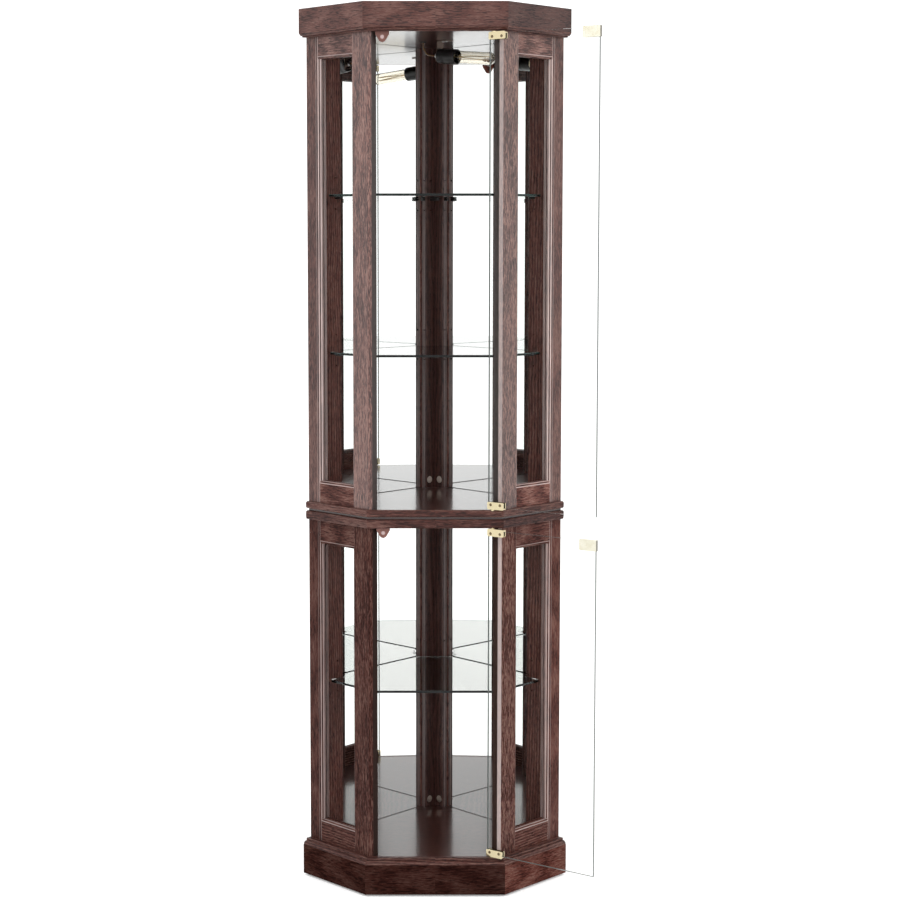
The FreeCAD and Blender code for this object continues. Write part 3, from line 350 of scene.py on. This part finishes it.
# the rails' lines: painted highlights along their moulded edges and painted shade lines beside them
w_rail = wood("wood_rail", "rail", 1.729, 0.53, 1.10, 0.35, 0.28, 0.2, slope=0.07, d0=0.02, rt=1.3,
              lines=(("z", 1.7070, 0.0010, 0.5), ("z", 1.7050, 0.0008, -0.6)))
w_railb = wood("wood_rail_upper_low", "rail", 0.816, 0.83, 1.10, 0.36, 0.10, 0.0, slope=0.07, d0=0.02, contrast=0.62, rt=1.5,
               lines=(("z", 0.8363, 0.0013, 0.65), ("z", 0.8384, 0.0009, -0.6), ("z", 0.8405, 0.0009, 0.5)))
w_rail2 = wood("wood_rail_lower", "rail", 0.733, 1.93, 0.78, 0.38, 0.05, 0.0, slope=0.07, d0=0.02, contrast=0.62, rt=1.25,
               lines=(("z", 0.7150, 0.0010, 0.4), ("z", 0.1203, 0.0013, 0.5), ("z", 0.1245, 0.0009, 0.4)))
w_crown = wood("wood_crown", "ring", 1.780, 0.29, 0.98, 0.36, 0.24, 0.10, slope=0.05, d0=0.01, contrast=0.40,
               figure=0.12, rt=0.62)
w_mould = wood("wood_moulding", "ring", 0.787, 0.71, 0.92, 0.36, 0.15, 0.05, contrast=0.6)
w_mould2 = wood("wood_moulding_low", "ring", 0.767, 1.41, 0.85, 0.36, 0.15, 0.0, contrast=0.7)
w_plinth = wood("wood_plinth", "ring", 0.034, 2.03, 0.38, 0.46, 0.0, 0.0, slope=0.05, d0=0.01, contrast=0.50, figure=0.14,
                rt=3.0)
# the post's lines: a faint painted sheen on its bevelled faces, painted highlights at their edges and a painted shade
# line
w_post = wood("wood_post", "zc", 0.0, 0.91, 0.64, 0.34, 0.3, 0.2, contrast=0.40,
              lines=(("x", 0.0272, 0.0070, 0.10), ("x", 0.0318, 0.0007, 0.55), ("x", 0.0225, 0.0006, 0.45),
                     ("x", 0.0205, 0.0007, -0.5)))
w_backst = wood("wood_back_stile", "zc", 0.20, 1.57, 1.0, 0.36, 0.15, 0.0, contrast=0.5)
w_panel = wood("wood_panel", "x", 0.0, 0.67, 0.55, 0.13, 0.5, 0.45, contrast=0.16, slope=0.03, relief=0.008, figure=0.10,
               grit=0.1)
w_panel2 = wood("wood_panel_low", "x", 0.0, 2.77, 0.60, 0.13, 0.45, 0.40, contrast=0.16, slope=0.03, relief=0.008, figure=0.10,
               grit=0.1)
w_back = wood("wood_back_panel", "back", 0.9, 1.23, 0.9, 0.5, 0.4, 0.0)

for pre, st, re_, rt, rb in (("upper", w_stile, w_rear, w_rail, w_railb),
                              ("lower", w_stile_l, w_rear_l, w_rail2, w_rail2)):
    put_mat(pre + "_front_stiles", st)
    put_mat(pre + "_rear_stiles", re_)
    put_mat(pre + "_top_rails", rt)
    put_mat(pre + "_bottom_rails", rb)
    put_mat(pre + "_glazing_beads", re_)
    put_mat(pre + "_corner_post", w_post)
    put_mat(pre + "_back_stiles", w_backst)
put_mat("crown_boards", w_crown)
put_mat("crown_cove", w_mould)
put_mat("upper_waist_moulding", w_mould)
put_mat("lower_waist_moulding", w_mould2)
put_mat("plinth_moulding", w_mould2)
put_mat("plinth_boards", w_plinth)
put_mat("plinth_back_boards", w_back)
put_mat("plinth_corner_blocks", w_back)
put_mat("mirror_strips", w_backst)
put_mat("back_panels", w_back)
put_mat("crown_top_panel", w_panel)
put_mat("upper_ceiling_panel", w_panel)
put_mat("upper_floor_panel", w_panel)
put_mat("lower_top_panel", w_panel2)
put_mat("lower_floor_panel", w_panel2)

mirror = simple("silvered_mirror", (0.955, 0.962, 0.958), 0.012, 1.0).m
put_mat("upper_mirrors", mirror)
put_mat("lower_mirrors", mirror)


def shelf_edge(m):
    tc = m.node("ShaderNodeTexCoord")
    nx, ny, nz = m.split(tc.outputs["Normal"])
    return m.math("LESS_THAN", m.math("ABSOLUTE", nz), 0.9)


g_door = sheet_glass("door_glass", (0.990, 0.996, 0.993))
g_edge = simple("door_glass_edge", (0.10, 0.11, 0.105), 0.18).m
g_shelf = glass("shelf_glass", (0.485, 0.492, 0.474), (0.05, 0.10, 0.09), shelf_edge, ior=1.35)
g_pane = sheet_glass("window_glass", (0.994, 0.998, 0.996))
# the doors' glass again, face for face, with a finish of its own on the ground
# edges, told from the two faces by how far their normals lie from the glass's
turn = math.radians(145.5)
for sec in ("upper", "lower"):
    src = NODES[sec + "_door_glass"]
    me = src.data.copy()
    me.materials.clear()
    me.materials.append(g_door)
    me.materials.append(g_edge)
    for f_ in me.polygons:
        d_ = abs(f_.normal.x * math.sin(turn) - f_.normal.y * math.cos(turn))
        f_.material_index = 0 if d_ > 0.9 else 1
    pane = bpy.data.objects.new(sec + "_door_glass_sheet", me)
    scene.collection.objects.link(pane)
    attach(pane, sec + "_door")
    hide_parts(sec + "_door_glass")
for n in ("top_glass_shelf", "middle_glass_shelf", "lower_glass_shelf"):
    put_mat(n, g_shelf)
for n in ("upper_side_panes", "lower_side_panes"):
    put_mat(n, g_pane)


def brass(name, base, rough):
    m = Mat(name)
    m.set(Base_Color=(*base, 1), Roughness=rough, Metallic=1.0)
    n = m.noise(m.coords(), 900.0, 3.0, 0.6)
    n2 = m.noise(m.coords(), 60.0, 2.0, 0.5)
    m.link(m.math("ADD", m.math("MULTIPLY", n2, 0.08), rough - 0.03), m.b.inputs["Roughness"])
    m.bump(n, 0.05, 0.0002)
    return m.m


b_brass = brass("polished_brass", (0.58, 0.50, 0.32), 0.16)
# the strike plates are paler brass, with a painted dark reflection where they turn over the glass's edge
sm = Mat("strike_brass")
s_tc = sm.node("ShaderNodeTexCoord")
s_x, s_y, s_z = sm.split(s_tc.outputs["Normal"])
s_dark_reflection = sm.math("GREATER_THAN", sm.math("ABSOLUTE", sm.math("ADD", sm.math("MULTIPLY", s_x, math.cos(turn)),
                                                           sm.math("MULTIPLY", s_y, math.sin(turn)))), 0.75)
s_n = sm.noise(sm.coords(), 55.0, 2.0, 0.6)
s_face = sm.ramp(s_n, [(0.35, (0.66, 0.64, 0.54)), (0.65, (0.58, 0.55, 0.43))])
sm.link(sm.mix(s_dark_reflection, s_face, (0.20, 0.19, 0.16)), sm.b.inputs["Base Color"])
sm.set(Roughness=0.2, Metallic=1.0)
b_screw = brass("brass_screws", (0.16, 0.12, 0.07), 0.34)
for n in ("upper_hinge_clips", "lower_hinge_clips", "pivot_bushings"):
    put_mat(n, b_brass)
for n in ("upper_strike_plate", "lower_strike_plate"):
    put_mat(n, sm.m)
for n in ("upper_clip_screws", "lower_clip_screws"):
    put_mat(n, b_screw)


def plastic(name, col, rough, bump=0.06, spec=0.5, **kw):
    m = Mat(name)
    m.set(Base_Color=(*col, 1), Roughness=rough)
    for k, v in kw.items():
        m.b.inputs[k.replace("_", " ")].default_value = v
    n = m.noise(m.coords(), 1500.0, 2.0, 0.5)
    n2 = m.noise(m.coords(), 40.0, 2.0, 0.5)
    m.link(m.math("ADD", m.math("MULTIPLY", n2, 0.12), rough - 0.05), m.b.inputs["Roughness"])
    m.bump(n, bump, 0.0002)
    return m.m


put_mat("catch_housings", plastic("catch_plastic", srgb(120, 70, 58), 0.3, 0.05, Transmission_Weight=0.5))
steel = simple("plated_steel", (0.62, 0.62, 0.62), 0.28, 1.0).m
put_mat("catch_magnets", simple("magnet", (0.40, 0.30, 0.29), 0.34, 1.0).m)
put_mat("fixing_screws", steel)
put_mat("section_bolts", steel)
put_mat("cam_locks", simple("cam_zinc", (0.55, 0.50, 0.46), 0.35, 1.0).m)
put_mat("lamp_nipple_and_nut", steel)
put_mat("bulb_base", simple("bulb_base", (0.8, 0.74, 0.6), 0.3, 1.0).m)
put_mat("lamp_bracket", simple("bracket_steel", (0.16, 0.12, 0.10), 0.40, 1.0).m)
put_mat("lamp_holder", plastic("holder_plastic", srgb(22, 20, 20), 0.28))
put_mat("lamp_lead", plastic("lead_plastic", srgb(90, 66, 44), 0.25))
put_mat("lead_grommet", plastic("grommet_plastic", srgb(30, 26, 24), 0.5))
put_mat("shelf_pins", plastic("pin_plastic", srgb(18, 17, 17), 0.4))
put_mat("floor_glides", plastic("glide_plastic", srgb(34, 28, 25), 0.6))
put_mat("bulb_filament", simple("filament", (0.80, 0.62, 0.36), 0.30, 1.0).m)
put_mat("bulb_glass", glass("bulb_glass", (0.97, 0.94, 0.87), (1, 1, 1), ior=1.32))

# ------------------------------------------------------------ room
import bmesh


def mesh_obj(name, verts, faces, mat):
    me = bpy.data.meshes.new(name)
    me.from_pydata(verts, [], faces)
    me.update()
    o = bpy.data.objects.new(name, me)
    scene.collection.objects.link(o)
    if mat:
        me.materials.append(mat)
    return o


fm = Mat("studio_floor")
fn = fm.noise(fm.coords(), 3.0, 2.0, 0.5)
fm.link(fm.ramp(fn, [(0.3, (0.80, 0.80, 0.80)), (0.7, (0.82, 0.82, 0.82))]), fm.b.inputs["Base Color"])
fm.set(Roughness=0.9)
fm.b.inputs["Specular IOR Level"].default_value = 0.0
fm.set(Emission_Color=(1, 1, 1, 1), Emission_Strength=0.22)
R = 9.0
NSEG = 64
verts = [(0, 0, 0)] + [(R * math.cos(2 * math.pi * i / NSEG), R * math.sin(2 * math.pi * i / NSEG), 0) for i in range(NSEG)]
faces = [(0, 1 + i, 1 + (i + 1) % NSEG) for i in range(NSEG)]
floor = mesh_obj("studio_floor", verts, faces, fm.m)

world = bpy.data.worlds.new("studio")
scene.world = world
world.use_nodes = True
wn = world.node_tree.nodes
wl = world.node_tree.links
wn.clear()
wo = wn.new("ShaderNodeOutputWorld")
bg = wn.new("ShaderNodeBackground")
tc = wn.new("ShaderNodeTexCoord")
sp = wn.new("ShaderNodeSeparateXYZ")
rp = wn.new("ShaderNodeValToRGB")
rp.color_ramp.elements[0].position = 0.0
rp.color_ramp.elements[0].color = (1.0, 1.0, 1.0, 1)
rp.color_ramp.elements[1].position = 1.0
rp.color_ramp.elements[1].color = (1.0, 1.0, 1.0, 1)
wl.new(tc.outputs["Generated"], sp.inputs[0])
wl.new(sp.outputs[2], rp.inputs[0])
wl.new(rp.outputs[0], bg.inputs[0])
bg.inputs[1].default_value = 1.38
wl.new(bg.outputs[0], wo.inputs[0])


def area(name, loc, target, size, power, color=(1, 1, 1), sy=None):
    d = bpy.data.lights.new(name, "AREA")
    d.energy = power
    d.color = color
    d.shape = "RECTANGLE"
    d.size = size
    d.size_y = sy or size
    o = bpy.data.objects.new(name, d)
    scene.collection.objects.link(o)
    o.location = loc
    o.rotation_mode = "QUATERNION"
    o.rotation_quaternion = (Vector(target) - Vector(loc)).to_track_quat("-Z", "Y")
    return o


area("key", (-2.2, -3.2, 3.4), (0, 0, 1.3), 3.0, 60)
area("fill", (3.0, -2.6, 2.6), (0, 0, 1.2), 3.0, 55)

# ------------------------------------------------------------ camera
cam_d = bpy.data.cameras.new("camera")
cam = bpy.data.objects.new("camera", cam_d)
scene.collection.objects.link(cam)
scene.camera = cam
cam_d.sensor_width = 36.0
cam_d.sensor_fit = "HORIZONTAL"
CX_, CYP, CZ = -0.0201, -3.7302, 1.3499
YAW, PITCH, F_PX, SX, SY = math.radians(0.064), math.radians(5.215), 1877.2, 0.0252, -0.0500
cam_d.lens = F_PX / 900.0 * 36.0
cam_d.shift_x = SX
cam_d.shift_y = SY
cam.location = (CX_, CYP - YO, CZ)
fwd = Vector((math.sin(YAW) * math.cos(PITCH), math.cos(YAW) * math.cos(PITCH), -math.sin(PITCH)))
cam.rotation_mode = "QUATERNION"
cam.rotation_quaternion = fwd.to_track_quat("-Z", "Y")
cam_d.clip_start, cam_d.clip_end = 0.1, 60.0
cam_d.dof.use_dof = False
